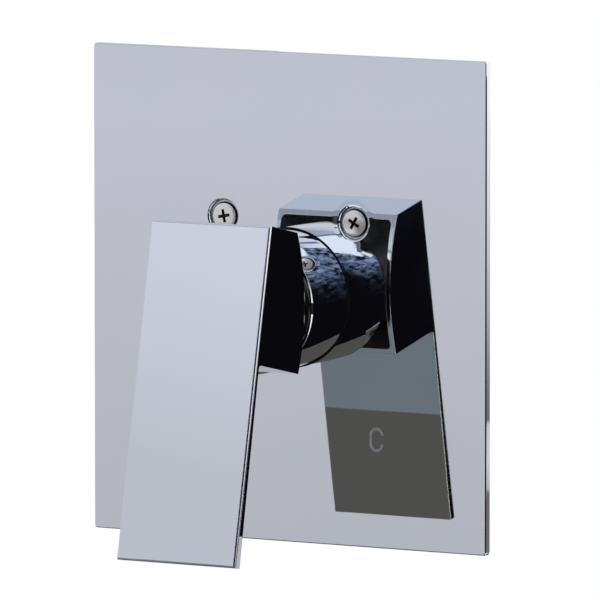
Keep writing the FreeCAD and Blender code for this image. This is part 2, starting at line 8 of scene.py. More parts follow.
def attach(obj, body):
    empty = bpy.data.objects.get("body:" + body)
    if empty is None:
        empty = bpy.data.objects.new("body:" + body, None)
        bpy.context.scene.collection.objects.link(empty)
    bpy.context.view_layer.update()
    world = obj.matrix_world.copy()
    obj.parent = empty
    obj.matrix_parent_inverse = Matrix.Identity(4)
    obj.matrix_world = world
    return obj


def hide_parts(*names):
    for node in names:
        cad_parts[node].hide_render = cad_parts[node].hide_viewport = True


# Looks of a concealed single-lever shower valve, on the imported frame.
# Metres and degrees. Origin: valve axis on the finished wall. +X to the right, +Z up, -Y out of the wall.

MM = 0.001
WHITE = (1.0, 1.0, 1.0, 1.0)

# Camera, fitted to the plate's corners, the sleeve, the screws and their mirror images
IMAGE_SIDE = 600
CAMERA_AZIMUTH = 29.561
CAMERA_ELEVATION = 6.232
CAMERA_ROLL = -0.01
CAMERA_DISTANCE = 4139.8 * MM
CAMERA_SIDE_SHIFT = 4.56 * MM
CAMERA_UP_SHIFT = -0.98 * MM
FOCAL_PIXELS = 10731.1
SENSOR_WIDTH = 36.0
PLATE_FRONT = -3.0 * MM

# Floor, whose glow in the background grows towards its rim, and the world's level as a light
FLOOR_HEIGHT = -0.35
FLOOR_RADIUS = 1.5
FLOOR_SEGMENTS = 96
FLOOR_COLOUR = (0.80, 0.80, 0.80)
FLOOR_ROUGHNESS = 0.9
FLOOR_GLOW_START = 0.4
FLOOR_GLOW = (0.22, 0.60)
WORLD_LEVEL = 0.65

# Area lamps: place, side and power
KEY_LAMP = ((-1.2, -1.6, 1.8), 1.4, 25.0)
BACK_LAMP = ((1.4, 1.6, 1.2), 1.4, 15.0)

# Upright boards that only the polished surfaces see: azimuths, radii and heights
BOARD_STEPS = 48
SWEEP_RADIUS = 0.9
SWEEP_AZIMUTHS = (-150.0, -3.0)
SWEEP_HEIGHTS = (-0.25, 2.00)
DARK_RADIUS = 1.1
DARK_AZIMUTHS = (-3.0, 60.0)
DARK_HEIGHTS = (-0.25, 1.30)
LOW_DARK_AZIMUTHS = (-19.0, -3.0)
LOW_DARK_HEIGHTS = (-0.25, 0.34)
SIDE_DARK_AZIMUTHS = (60.0, 118.0)
SIDE_DARK_HEIGHTS = (-0.25, 0.0)
SOFT_BOX_RADIUS = 0.85
SOFT_BOX_AZIMUTHS = (-8.5, 9.0)
SOFT_BOX_HEIGHTS = (0.485, 0.95)
POLE_AZIMUTHS = (-11.0, -8.5)
POLE_HEIGHTS = (0.36, 0.95)
REAR_RADIUS = 1.2
REAR_AZIMUTHS = (118.0, 178.0)
REAR_HEIGHTS = (-0.25, 0.05)

# Slanting lower edge of the soft box's wing, as (azimuth, height)
WING_EDGE = ((9.0, 0.489), (12.0, 0.474), (17.0, 0.4325), (19.5, 0.402))

# Glow of the boards that have one shade
LOW_DARK_GLOW = (0.004, 0.005, 0.008)
SIDE_DARK_GLOW = (0.020, 0.020, 0.024)
WING_GLOW = (0.850, 0.930, 1.090)
POLE_GLOW = (0.17, 0.20, 0.30)

# Glow of the sweep, as (height, colour), and its gain from one x to another, as (share, level)
SWEEP_SHADES = (
    (-0.25, (0.480, 0.500, 0.555)), (-0.19, (0.505, 0.520, 0.570)), (-0.01, (0.580, 0.595, 0.680)),
    (0.142, (0.545, 0.565, 0.638)), (0.154, (0.566, 0.588, 0.662)), (0.196, (0.626, 0.646, 0.734)),
    (0.237, (0.664, 0.680, 0.779)), (0.32, (0.680, 0.695, 0.800)), (0.45, (0.500, 0.560, 0.690)),
    (0.478, (0.470, 0.545, 0.690)), (0.50, (0.350, 0.395, 0.490)), (0.63, (0.320, 0.360, 0.450)),
    (2.00, (0.750, 0.750, 0.780)))
SWEEP_SIDES = (-0.36, -0.05)
SWEEP_GAIN = ((0.0, 1.0), (1.0, 1.35))

# Glow of the dark board: patches by noise, as (noise, colour), that show less to the right and further down
DARK_NOISE = (0.05, 9.0)
DARK_SHADES = ((0.42, (0.004, 0.007, 0.016)), (0.50, (0.080, 0.120, 0.230)), (0.60, (0.250, 0.325, 0.500)))
DARK_SIDES = (0.10, 0.65)
DARK_SIDE_LEVELS = ((0.7, 1.0), (1.0, 0.0))
DARK_RISE = (-0.10, 0.38)
DARK_RISE_LEVELS = ((0.0, 0.0), (0.4, 0.08), (0.75, 0.45), (1.0, 1.0))
DARK_LEAST = (0.003, 0.003, 0.005, 1.0)

# Glow of the rear board and of the soft box, as (height, colour)
REAR_SHADES = (
    (-0.218, (0.170, 0.160, 0.145)), (-0.2165, (0.475, 0.470, 0.520)), (-0.203, (0.640, 0.635, 0.700)),
    (-0.1845, (0.600, 0.590, 0.660)), (-0.182, (0.165, 0.160, 0.190)), (-0.172, (0.185, 0.180, 0.215)),
    (-0.152, (0.270, 0.262, 0.310)), (-0.129, (0.420, 0.410, 0.460)), (-0.098, (0.580, 0.575, 0.620)),
    (-0.071, (0.740, 0.735, 0.770)), (-0.050, (0.840, 0.835, 0.860)), (-0.020, (1.000, 0.995, 1.000)))
SOFT_BOX_SHADES = (
    (0.486, (0.110, 0.150, 0.260)), (0.490, (0.200, 0.260, 0.420)), (0.497, (0.850, 0.930, 1.090)))

# Flat boards, which only the polished surfaces see too: name, azimuths, radii and glow
TABLE_HEIGHT = -0.25
TABLE_DARK_RADII = (0.17, 1.10)
TABLES = (
    ("front_table", (-75.0, -2.5), (0.17, 0.45), (0.185, 0.220, 0.253)),
    ("apron_table", (-75.0, -28.5), (0.45, 0.90), (0.460, 0.475, 0.520)),
    ("shade_table", (-28.5, -2.5), (0.45, 0.90), (0.105, 0.115, 0.140)),
    ("back_table", (140.0, 285.0), (0.02, 0.40), (0.094, 0.092, 0.087)),
    ("near_table", (-75.0, 140.0), (0.02, 0.17), (0.094, 0.092, 0.087)),
    ("rear_table", (140.0, 285.0), (0.40, 1.50), (0.480, 0.490, 0.530)))
CEILING_HEIGHT = 1.90
CEILING_AZIMUTHS = (0.0, 360.0)
CEILING_RADII = (0.0, 0.90)
CEILING_GLOW = (0.15, 0.15, 0.17)

# Marks cut into the plate beside the lever
MARK_X = 39.0 * MM
MARK_Z = -53.0 * MM
MARK_HALF_WIDTH = 2.45 * MM
MARK_HALF_HEIGHT = 4.25 * MM
MARK_STROKE = 1.1 * MM
MARK_OPENING = 1.7 * MM
MARK_THICKNESS = 0.02 * MM
MARK_ARC_STEPS = 16

# Plate screws
SCREW_X = 28.8 * MM
SCREW_Z = 30.2 * MM
SCREW_TURNS = (11.0, -30.0)
HEAD_BACK = -1.4 * MM
HEAD_RADIUS = 5.0 * MM
HEAD_RIM = 1.2 * MM
HEAD_ROUNDING = 0.3 * MM
HEAD_ROUNDING_END = -75.0
HEAD_ROUNDING_STEPS = 6
HEAD_SEGMENTS = 96
HEAD_DOME = 0.25 * MM
DOME_STEPS = 9
CROSS_REACH = 2.65 * MM
CROSS_HALF_WIDTH = 0.62 * MM
CROSS_DEPTH = 1.2 * MM
CROSS_TAPER = 0.40
SHANK_CREST = 2.45 * MM
SHANK_ROOT = 1.95 * MM
SHANK_PITCH = 0.8 * MM
SHANK_END = 32.6 * MM
SHANK_POINT = 1.2 * MM
SHANK_SEGMENTS = 32

# Faces of a screw beyond this radius and as steep as this, the side of its head, get the recess's painted
# shade
HEAD_SHADE_REACH = 4.9 * MM
HEAD_SHADE_FACING = 0.3
PAINTED_SHADE_INDEX = 1

# Sleeve around the cartridge, and its front lip
SLEEVE_RADIUS = 27.0 * MM
SLEEVE_FRONT = -32.2 * MM
SLEEVE_BACK = -0.5 * MM
SLEEVE_FOOT = -3.12 * MM
SLEEVE_TAIL_RADIUS = 26.3 * MM
SLEEVE_FOOT_EDGE = 0.20 * MM
SLEEVE_BEVEL = 0.9 * MM
SLEEVE_EDGE = 0.12 * MM
SLEEVE_INNER_EDGE = 0.5 * MM
SLEEVE_LIP_RADIUS = 15.5 * MM
SLEEVE_LIP = 1.4 * MM
SLEEVE_BORE = 25.5 * MM
SLEEVE_COLLAR = -12.5 * MM
SLEEVE_THREAD = 22.6 * MM

# How finely sleeve and seam ring are turned, and below which distance their points are one
TURNED_SEGMENTS = 192
FOOT_STEPS = 4
BEVEL_STEPS = 6
LIP_STEPS = 10
WELD_DISTANCE = 0.0005 * MM

# Tangent of half the 45 degrees of the sleeve's bevel: how far from a corner its rounding starts
EDGE_TANGENT = 0.414

# Rubber ring that closes the seam between sleeve and plate
SEAL_RADIUS = 27.33 * MM
SEAL_BORE = 26.35 * MM
SEAL_FRONT = -3.06 * MM

# Threads: rows in a turn, and steepness of the flanks, which above 1 leaves the crests flat
THREAD_STEPS = 6
THREAD_FLANK = 1.4

# Pipe threads of the three open connections
PORT_DEPTH = 30.0 * MM
PORT_REACH = 52.0 * MM
PORT_RADIUS = 9.3 * MM
PORT_THREAD_DEPTH = 0.55 * MM
PORT_PITCH = 1.81 * MM
PORT_THREAD_LENGTH = 14.0 * MM
PORT_LEAD = 0.8 * MM
PORT_SEGMENTS = 72

# Plain finishes. A noise is the size of its patches and its detail, a span the part of its values in use
COLOUR_DETAIL = 4.0
GRAIN_DETAIL = 3.0
FINISH_SPAN = (0.3, 0.7)

# Plating: faint patches of colour and of gloss
PLATING_SHADES = ((0.885, 0.895, 0.905), (0.90, 0.905, 0.91))
PLATING_NOISE = (50.0 * MM, 3.0)
PLATING_SPAN = (0.35, 0.65)
GLOSS_NOISE = (20.0 * MM, 4.0)
GLOSS_SPAN = (0.4, 0.8)
GLOSS_ROUGHNESS = (0.012, 0.035)

# Plate: waves of the sheet and its satin back, inside the folded rim
PLATE_WAVES = (30.0 * MM, 1.0)
PLATE_WAVE_DEPTH = 0.010 * MM
PLATE_BACK = -2.1 * MM
PLATE_INSIDE = (86.0 * MM, 94.0 * MM)
SATIN_ROUGHNESS = 0.30

# The plate's sheet is drawn in a little around each screw seat; the seat's floor near the head gets painted
# shade, a dark dull colour
SEAT_INNER = 6.5 * MM
SEAT_OUTER = 10.0 * MM
SEAT_DIP = 0.03 * MM
SEAT_FLOOR = -2.2 * MM
SEAT_FLOOR_BLUR = 0.4 * MM
SEAT_SHADE = 5.8 * MM
SEAT_SHADE_BLUR = 0.3 * MM
SEAT_PAINTED_SHADES = ((0.050, 0.045, 0.040), (0.150, 0.135, 0.120))
SEAT_PAINTED_SHADE_NOISE = (1.0 * MM, 3.0)

# Sleeve: heights where its smears begin, are full, fade and end, and how they blur and dent
SMEAR_LOW = 3.0 * MM
SMEAR_HIGH = 10.0 * MM
SMEAR_FADE = 16.5 * MM
SMEAR_END = 20.0 * MM
SMEAR_NOISE = (4.0 * MM, 7.0)
SMEAR_SPAN = (0.48, 0.74)
SMEAR_ROUGHNESS = (0.0, 0.24)
SLEEVE_ROUGHNESS = 0.015
RIPPLE_NOISE = (6.0 * MM, 2.0)
RIPPLE_DEPTH = 0.020 * MM
DENT_NOISE = (3.0 * MM, 5.0)
DENT_DEPTH = 0.012 * MM

# Handle: waves and rounded edges, and a darker, duller colour on the walls inside its head, in the handle's
# own tilted frame
HANDLE_WAVES = (20.0 * MM, 1.0)
HANDLE_WAVE_DEPTH = 0.004 * MM
HANDLE_EDGE = 0.4 * MM
HANDLE_EDGE_SAMPLES = 6
HANDLE_TOP_FRONT = (0.0, -62.6 * MM, 34.3 * MM)
HANDLE_TILT = -12.0
INSIDE_HALF_WIDTH = 24.5 * MM
INSIDE_HALF_HEIGHT = 24.65 * MM
INSIDE_MIDDLE = -26.5 * MM
INSIDE_CORNER = 2.0 * MM
INSIDE_FRONT = 3.9 * MM
INSIDE_SHADES = ((0.240, 0.240, 0.245), (0.420, 0.405, 0.390))
INSIDE_NOISE = (4.0 * MM, 4.0)
INSIDE_SPAN = (0.3, 0.7)
INSIDE_ROUGHNESS = 0.16
INSIDE_METALLIC = 0.65

# Sockets of a Mix node in colour mode: the factor and both colours, and the blend
MIX_INPUTS = (0, 6, 7)
MIX_OUTPUT = 2

# Angle between faces above which an edge is drawn sharp
SHARP_ANGLE = math.radians(30.0)


def point_at(azimuth, radius, height):
    """A point around the valve; azimuth 0 is in front of the wall and grows to the right."""
    angle = math.radians(azimuth)
    return Vector((radius * math.sin(angle), -radius * math.cos(angle), height))


def clear_startup_objects():
    for name in ("Cube", "Light", "Camera"):
        found = bpy.data.objects.get(name)
        if found is not None:
            bpy.data.objects.remove(found)


# Meshes

def new_object(name, bm):
    mesh = bpy.data.meshes.new(name)
    bmesh.ops.recalc_face_normals(bm, faces=bm.faces)
    bm.to_mesh(mesh)
    bm.free()
    piece = bpy.data.objects.new(name, mesh)
    bpy.context.scene.collection.objects.link(piece)
    return piece


def smooth(piece):
    """Smooth shading with sharp edges kept."""
    mesh = piece.data
    mesh.polygons.foreach_set("use_smooth", [True] * len(mesh.polygons))
    mesh.set_sharp_from_angle(angle=SHARP_ANGLE)
    return piece


def arc(radius, y, size, start, end, steps):
    """Points (radius, y) of a rounding about a centre, between two angles."""
    points = []
    for step in range(steps + 1):
        angle = math.radians(start + (end - start) * step / steps)
        points.append((radius + size * math.cos(angle), y + size * math.sin(angle)))
    return points


def ring_point(x, y, z, radius, step, segments):
    """One of the points that divide a circle about the Y direction."""
    angle = 2 * math.pi * step / segments
    return x + radius * math.cos(angle), y, z + radius * math.sin(angle)


def lathe(bm, profile, segments, x=0.0, z=0.0):
    """Surface turned about the Y direction through x, z; a point on the axis closes it."""
    rings = []
    for radius, y in profile:
        count = 1 if radius == 0 else segments
        rings.append([bm.verts.new(ring_point(x, y, z, radius, step, segments)) for step in range(count)])
    for one, other in zip(rings, rings[1:]):
        for step in range(segments):
            following = (step + 1) % segments
            corners = [one[step % len(one)], one[following % len(one)],
                       other[following % len(other)], other[step % len(other)]]
            bm.faces.new(list(dict.fromkeys(corners)))


def thread_rows(length, pitch, root, crest, lead, segments):
    """Radii of a thread on a grid: rows along the axis, each with one radius per segment."""
    count = int(length / pitch * THREAD_STEPS)
    rows = []
    for row in range(count + 1):
        place = length * row / count
        fade = min(1.0, place / lead, (length - place) / lead)
        radii = []
        for step in range(segments):
            phase = (place / pitch + step / segments) % 1.0
            rise = 1.0 - abs(2.0 * phase - 1.0)
            radii.append(root + (crest - root) * min(1.0, THREAD_FLANK * rise) * fade)
        rows.append((place, radii))
    return rows


def grid_faces(bm, rows):
    """Quads between closed rows with equal counts."""
    for one, other in zip(rows, rows[1:]):
        for step in range(len(one)):
            following = (step + 1) % len(one)
            bm.faces.new((one[step], one[following], other[following], other[step]))


# Node helpers; a value that they are given is a socket, a number, a vector or a colour

def new_material(name):
    material = bpy.data.materials.new(name)
    material.use_nodes = True
    return material, material.node_tree, material.node_tree.nodes["Principled BSDF"]


def add_node(tree, kind, **settings):
    node = tree.nodes.new(kind)
    for key, value in settings.items():
        setattr(node, key, value)
    return node


def feed(tree, target, value):
    """Links a socket to an input, or sets the input to a plain value."""
    if isinstance(value, bpy.types.NodeSocket):
        tree.links.new(value, target)
    else:
        target.default_value = value


def calculate(tree, kind, *values):
    node = add_node(tree, "ShaderNodeMath", operation=kind)
    for index, value in enumerate(values):
        feed(tree, node.inputs[index], value)
    return node.outputs["Value"]


def vector_step(tree, kind, *values):
    """Outputs of a Vector Math node: "Vector" and "Value"."""
    node = add_node(tree, "ShaderNodeVectorMath", operation=kind)
    for index, value in enumerate(values):
        feed(tree, node.inputs[index], value)
    return node.outputs


def mixed(tree, kind, factor, one, other):
    node = add_node(tree, "ShaderNodeMix", data_type="RGBA", blend_type=kind)
    for index, value in zip(MIX_INPUTS, (factor, one, other)):
        feed(tree, node.inputs[index], value)
    return node.outputs[MIX_OUTPUT]


def object_point(tree):
    """The place on the piece."""
    return add_node(tree, "ShaderNodeTexCoord").outputs["Object"]


def parts_of(tree, vector):
    """Outputs "X", "Y" and "Z" of a vector."""
    split = add_node(tree, "ShaderNodeSeparateXYZ")
    tree.links.new(vector, split.inputs["Vector"])
    return split.outputs


def noise(tree, size, detail):
    """Noise whose patches are about size across."""
    texture = add_node(tree, "ShaderNodeTexNoise")
    texture.inputs["Scale"].default_value = 1 / size
    texture.inputs["Detail"].default_value = detail
    tree.links.new(object_point(tree), texture.inputs["Vector"])
    return texture.outputs["Fac"]


def remap(tree, source, from_low, from_high, to_low, to_high):
    node = add_node(tree, "ShaderNodeMapRange")
    for key, value in (("From Min", from_low), ("From Max", from_high),
                       ("To Min", to_low), ("To Max", to_high)):
        node.inputs[key].default_value = value
    tree.links.new(source, node.inputs["Value"])
    return node.outputs["Result"]


def share_of(tree, axis, low, high):
    """0 at the low place along an axis and 1 at the high one."""
    return remap(tree, parts_of(tree, object_point(tree))[axis], low, high, 0.0, 1.0)


def ramp(tree, source, stops):
    """Colour by a value; stops are (place, colour)."""
    node = add_node(tree, "ShaderNodeValToRGB")
    elements = node.color_ramp.elements
    while len(elements) < len(stops):
        elements.new(1.0)
    for element, (place, colour) in zip(elements, stops):
        element.position = place
        element.color = (*colour, 1.0)
    tree.links.new(source, node.inputs["Fac"])
    return node.outputs["Color"]


def greys(stops):
    """Stops of a ramp between levels; stops are (place, level)."""
    return [(place, (level, level, level)) for place, level in stops]


def mottled(tree, size, detail, span, shades):
    """Colour that changes between two shades with noise."""
    return ramp(tree, noise(tree, size, detail), list(zip(span, shades)))


def bump(tree, height, depth, below=None):
    node = add_node(tree, "ShaderNodeBump")
    node.inputs["Distance"].default_value = depth
    tree.links.new(height, node.inputs["Height"])
    if below is not None:
        tree.links.new(below, node.inputs["Normal"])
    return node.outputs["Normal"]


# Surround: what lights the valve and what its polished faces mirror

def background_rays(tree):
    """1 for the rays that show the background: camera, mirror and glass rays."""
    rays = add_node(tree, "ShaderNodeLightPath").outputs
    seen = calculate(tree, "ADD", rays["Is Camera Ray"], rays["Is Glossy Ray"])
    return calculate(tree, "MINIMUM", calculate(tree, "ADD", seen, rays["Is Transmission Ray"]), 1.0)


def make_world():
    world = bpy.data.worlds.new("surround")
    bpy.context.scene.world = world
    world.use_nodes = True
    tree = world.node_tree
    strength = remap(tree, background_rays(tree), 0.0, 1.0, WORLD_LEVEL, 1.0)
    tree.links.new(strength, tree.nodes["Background"].inputs["Strength"])
    tree.nodes["Background"].inputs["Color"].default_value = WHITE


def make_floor():
    bm = bmesh.new()
    bmesh.ops.create_circle(bm, cap_ends=True, segments=FLOOR_SEGMENTS, radius=FLOOR_RADIUS,
                            matrix=Matrix.Translation((0, 0, FLOOR_HEIGHT)))
    floor = new_object("floor", bm)
    material, tree, shader = new_material("floor_paint")
    shader.inputs["Base Color"].default_value = (*FLOOR_COLOUR, 1.0)
    shader.inputs["Roughness"].default_value = FLOOR_ROUGHNESS
    shader.inputs["Specular IOR Level"].default_value = 0.0
    shader.inputs["Emission Color"].default_value = WHITE
    distance = vector_step(tree, "LENGTH", object_point(tree))["Value"]
    level = remap(tree, distance, FLOOR_GLOW_START, FLOOR_RADIUS, *FLOOR_GLOW)
    glow = calculate(tree, "MULTIPLY", level, background_rays(tree))
    tree.links.new(glow, shader.inputs["Emission Strength"])
    floor.data.materials.append(material)


def glow_material(name):
    """Material that only emits, with its node tree and the colour input to fill."""
    material = bpy.data.materials.new(name)
    material.use_nodes = True
    tree = material.node_tree
    tree.nodes.clear()
    emission = add_node(tree, "ShaderNodeEmission")
    output = add_node(tree, "ShaderNodeOutputMaterial")
    tree.links.new(emission.outputs["Emission"], output.inputs["Surface"])
    return material, tree, emission.inputs["Color"]


def plain_glow(name, shade):
    material, _, colour = glow_material(name)
    colour.default_value = (*shade, 1.0)
    return material


def by_height(tree, heights, shades):
    """Colour by height between two heights; shades are (height, colour)."""
    low, high = heights
    stops = [((height - low) / (high - low), shade) for height, shade in shades]
    return ramp(tree, share_of(tree, "Z", low, high), stops)


def spread_over(azimuths):
    low, high = azimuths
    return [low + (high - low) * step / BOARD_STEPS for step in range(BOARD_STEPS + 1)]


def make_strip(name, low_row, high_row, material):
    """A board between two rows of points, which only mirror rays see."""
    bm = bmesh.new()
    low = [bm.verts.new(point) for point in low_row]
    high = [bm.verts.new(point) for point in high_row]
    for index in range(len(low) - 1):
        bm.faces.new((low[index], low[index + 1], high[index + 1], high[index]))
    board = new_object(name, bm)
    board.data.materials.append(material)
    board.visible_camera = False
    board.visible_diffuse = False
    board.visible_shadow = False
    board.visible_transmission = False


def make_board(name, azimuths, radius, heights, material):
    """An upright curved board around the valve."""
    rows = [[point_at(azimuth, radius, height) for azimuth in spread_over(azimuths)] for height in heights]
    make_strip(name, *rows, material)


def make_wing(name, edge, radius, high, material):
    """An upright curved board whose lower edge slants; edge is (azimuth, height) points."""
    low_row = [point_at(azimuth, radius, height) for azimuth, height in edge]
    make_strip(name, low_row, [Vector((point.x, point.y, high)) for point in low_row], material)


def make_table(name, azimuths, radii, height, material):
    """A flat board below or above the valve."""
    rows = [[point_at(azimuth, radius, height) for azimuth in spread_over(azimuths)] for radius in radii]
    make_strip(name, *rows, material)


def make_sweep():
    """Pale sweep on the left, which the plate and the blade's front mirror."""
    material, tree, colour = glow_material("sweep_glow")
    upright = by_height(tree, SWEEP_HEIGHTS, SWEEP_SHADES)
    across = ramp(tree, share_of(tree, "X", *SWEEP_SIDES), greys(SWEEP_GAIN))
    tree.links.new(mixed(tree, "MULTIPLY", 1.0, upright, across), colour)
    make_board("sweep_board", SWEEP_AZIMUTHS, SWEEP_RADIUS, SWEEP_HEIGHTS, material)


def make_dark_boards():
    """Dark side of the room, with blue patches that the sleeve mirrors."""
    material, tree, colour = glow_material("dark_glow")
    patches = ramp(tree, noise(tree, *DARK_NOISE), DARK_SHADES)
    aside = ramp(tree, share_of(tree, "X", *DARK_SIDES), greys(DARK_SIDE_LEVELS))
    raised = ramp(tree, share_of(tree, "Z", *DARK_RISE), greys(DARK_RISE_LEVELS))
    window = mixed(tree, "MULTIPLY", 1.0, aside, raised)
    lit = mixed(tree, "MULTIPLY", 1.0, patches, window)
    tree.links.new(mixed(tree, "ADD", 1.0, lit, DARK_LEAST), colour)
    make_board("dark_board", DARK_AZIMUTHS, DARK_RADIUS, DARK_HEIGHTS, material)
    make_board("low_dark_board", LOW_DARK_AZIMUTHS, SOFT_BOX_RADIUS, LOW_DARK_HEIGHTS,
               plain_glow("low_dark_glow", LOW_DARK_GLOW))
    make_board("side_dark_board", SIDE_DARK_AZIMUTHS, DARK_RADIUS, SIDE_DARK_HEIGHTS,
               plain_glow("side_dark_glow", SIDE_DARK_GLOW))
    make_table("dark_table", DARK_AZIMUTHS, TABLE_DARK_RADII, TABLE_HEIGHT, material)


def make_rear_board():
    """Board to the right and behind, which the plate's right rim mirrors."""
    material, tree, colour = glow_material("rear_glow")
    tree.links.new(by_height(tree, REAR_HEIGHTS, REAR_SHADES), colour)
    make_board("rear_board", REAR_AZIMUTHS, REAR_RADIUS, REAR_HEIGHTS, material)


def make_soft_box():
    """Bright box high in front, with its wing and the darker edge beside it."""
    material, tree, colour = glow_material("soft_box_glow")
    tree.links.new(by_height(tree, SOFT_BOX_HEIGHTS, SOFT_BOX_SHADES), colour)
    make_board("soft_box", SOFT_BOX_AZIMUTHS, SOFT_BOX_RADIUS, SOFT_BOX_HEIGHTS, material)
    make_wing("soft_box_wing", WING_EDGE, SOFT_BOX_RADIUS, SOFT_BOX_HEIGHTS[1],
              plain_glow("wing_glow", WING_GLOW))
    make_board("board_edge", POLE_AZIMUTHS, SOFT_BOX_RADIUS, POLE_HEIGHTS,
               plain_glow("pole_glow", POLE_GLOW))


def make_boards():
    make_sweep()
    make_dark_boards()
    make_rear_board()
    make_soft_box()
    for name, azimuths, radii, glow in TABLES:
        make_table(name, azimuths, radii, TABLE_HEIGHT, plain_glow(name + "_glow", glow))
    make_table("ceiling", CEILING_AZIMUTHS, CEILING_RADII, CEILING_HEIGHT,
               plain_glow("ceiling_glow", CEILING_GLOW))


def make_lamp(name, place, side, power):
    """An area lamp aimed at the origin, which mirrors don't show."""
    lamp = bpy.data.lights.new(name, "AREA")
    lamp.size = side
    lamp.energy = power
    holder = bpy.data.objects.new(name, lamp)
    bpy.context.scene.collection.objects.link(holder)
    holder.location = place
    holder.rotation_euler = (-Vector(place)).to_track_quat("-Z", "Y").to_euler()
    holder.visible_camera = False
    holder.visible_glossy = False


def make_camera():
    azimuth = math.radians(CAMERA_AZIMUTH)
    elevation = math.radians(CAMERA_ELEVATION)
    roll = math.radians(CAMERA_ROLL)
    back = Vector((math.sin(azimuth) * math.cos(elevation), -math.cos(azimuth) * math.cos(elevation),
                   math.sin(elevation)))
    level = Vector((math.cos(azimuth), math.sin(azimuth), 0.0))
    upright = back.cross(level)
    right = level * math.cos(roll) + upright * math.sin(roll)
    up = upright * math.cos(roll) - level * math.sin(roll)
    place = back * CAMERA_DISTANCE + level * CAMERA_SIDE_SHIFT + upright * CAMERA_UP_SHIFT
    place = place + Vector((0.0, PLATE_FRONT, 0.0))
    data = bpy.data.cameras.new("camera")
    data.sensor_width = SENSOR_WIDTH
    data.lens = FOCAL_PIXELS / IMAGE_SIDE * SENSOR_WIDTH
    camera = bpy.data.objects.new("camera", data)
    bpy.context.scene.collection.objects.link(camera)
    turn = Matrix((right, up, back)).transposed()
    camera.matrix_world = Matrix.Translation(place) @ turn.to_4x4()
    bpy.context.scene.camera = camera


# Finishes

def finish(name, shades, patch, rough, rough_patch, grains, metallic=0.0, specular=0.5):
    """A material with colour, roughness and relief from noise; grains are (size, depth)."""
    material, tree, shader = new_material(name)
    shader.inputs["Metallic"].default_value = metallic
    shader.inputs["Specular IOR Level"].default_value = specular
    tree.links.new(mottled(tree, patch, COLOUR_DETAIL, FINISH_SPAN, shades), shader.inputs["Base Color"])
    roughness = remap(tree, noise(tree, rough_patch, GRAIN_DETAIL), *FINISH_SPAN, *rough)
    tree.links.new(roughness, shader.inputs["Roughness"])
    normal = None
    for size, depth in grains:
        normal = bump(tree, noise(tree, size, GRAIN_DETAIL), depth, normal)
    tree.links.new(normal, shader.inputs["Normal"])
    return material


def polished(name):
    """Material of bright plating, before its colour, gloss and relief are added."""
    material, tree, shader = new_material(name)
    shader.inputs["Metallic"].default_value = 1.0
    return material, tree, shader


def plating_colour(tree):
    return mottled(tree, *PLATING_NOISE, PLATING_SPAN, PLATING_SHADES)


def plating_roughness(tree):
    return remap(tree, noise(tree, *GLOSS_NOISE), *GLOSS_SPAN, *GLOSS_ROUGHNESS)


def seat_distance(tree):
    """How far a place is from the axis of the nearer screw, and its depth."""
    parts = parts_of(tree, object_point(tree))
    flat = add_node(tree, "ShaderNodeCombineXYZ")
    tree.links.new(calculate(tree, "ABSOLUTE", parts["X"]), flat.inputs["X"])
    tree.links.new(parts["Z"], flat.inputs["Z"])
    distance = vector_step(tree, "DISTANCE", flat.outputs["Vector"], (SCREW_X, 0.0, SCREW_Z))
    return distance["Value"], parts["Y"]


def behind_plate(tree):
    """1 on the back of the sheet, inside its folded rim, and 0 on its polished outside."""
    parts = parts_of(tree, object_point(tree))
    inside = calculate(tree, "GREATER_THAN", parts["Y"], PLATE_BACK)
    for axis, limit in zip("XZ", PLATE_INSIDE):
        within = calculate(tree, "LESS_THAN", calculate(tree, "ABSOLUTE", parts[axis]), limit)
        inside = calculate(tree, "MULTIPLY", inside, within)
    return inside


def make_plate_chrome():
    """Bright sheet with a satin back, drawn in around the screw seats, whose floors near the heads get
    painted shade.
    """
    material, tree, shader = polished("plate_chrome")
    satin = remap(tree, behind_plate(tree), 0.0, 1.0, 0.0, SATIN_ROUGHNESS)
    tree.links.new(calculate(tree, "ADD", satin, plating_roughness(tree)), shader.inputs["Roughness"])
    distance, depth = seat_distance(tree)
    dip = add_node(tree, "ShaderNodeMapRange", interpolation_type="SMOOTHERSTEP")
    dip.inputs["From Min"].default_value = SEAT_INNER
    dip.inputs["From Max"].default_value = SEAT_OUTER
    tree.links.new(distance, dip.inputs["Value"])
    waves = bump(tree, noise(tree, *PLATE_WAVES), PLATE_WAVE_DEPTH)
    tree.links.new(bump(tree, dip.outputs["Result"], SEAT_DIP, waves), shader.inputs["Normal"])
    # Painted shade: close to the screw head and deep in the seat, the colour turns dark and dull
    near = remap(tree, distance, SEAT_SHADE - SEAT_SHADE_BLUR, SEAT_SHADE, 1.0, 0.0)
    deep = remap(tree, depth, SEAT_FLOOR, SEAT_FLOOR + SEAT_FLOOR_BLUR, 0.0, 1.0)
    floor = calculate(tree, "MULTIPLY", near, deep)
    dull = mottled(tree, *SEAT_PAINTED_SHADE_NOISE, PLATING_SPAN, SEAT_PAINTED_SHADES)
    tree.links.new(mixed(tree, "MIX", floor, plating_colour(tree), dull), shader.inputs["Base Color"])
    return material


def make_sleeve_chrome():
    """Plating of the sleeve, with smears that blur what it mirrors."""
    material, tree, shader = polished("sleeve_chrome")
    tree.links.new(plating_colour(tree), shader.inputs["Base Color"])
    height = parts_of(tree, object_point(tree))["Z"]
    worn = calculate(tree, "MULTIPLY", remap(tree, height, SMEAR_LOW, SMEAR_HIGH, 0.0, 1.0),
                     remap(tree, height, SMEAR_FADE, SMEAR_END, 1.0, 0.0))
    smears = remap(tree, noise(tree, *SMEAR_NOISE), *SMEAR_SPAN, *SMEAR_ROUGHNESS)
    rough = calculate(tree, "MULTIPLY_ADD", smears, worn, SLEEVE_ROUGHNESS)
    tree.links.new(rough, shader.inputs["Roughness"])
    ripples = bump(tree, noise(tree, *RIPPLE_NOISE), RIPPLE_DEPTH)
    dents = calculate(tree, "MULTIPLY", noise(tree, *DENT_NOISE), worn)
    tree.links.new(bump(tree, dents, DENT_DEPTH, ripples), shader.inputs["Normal"])
    return material


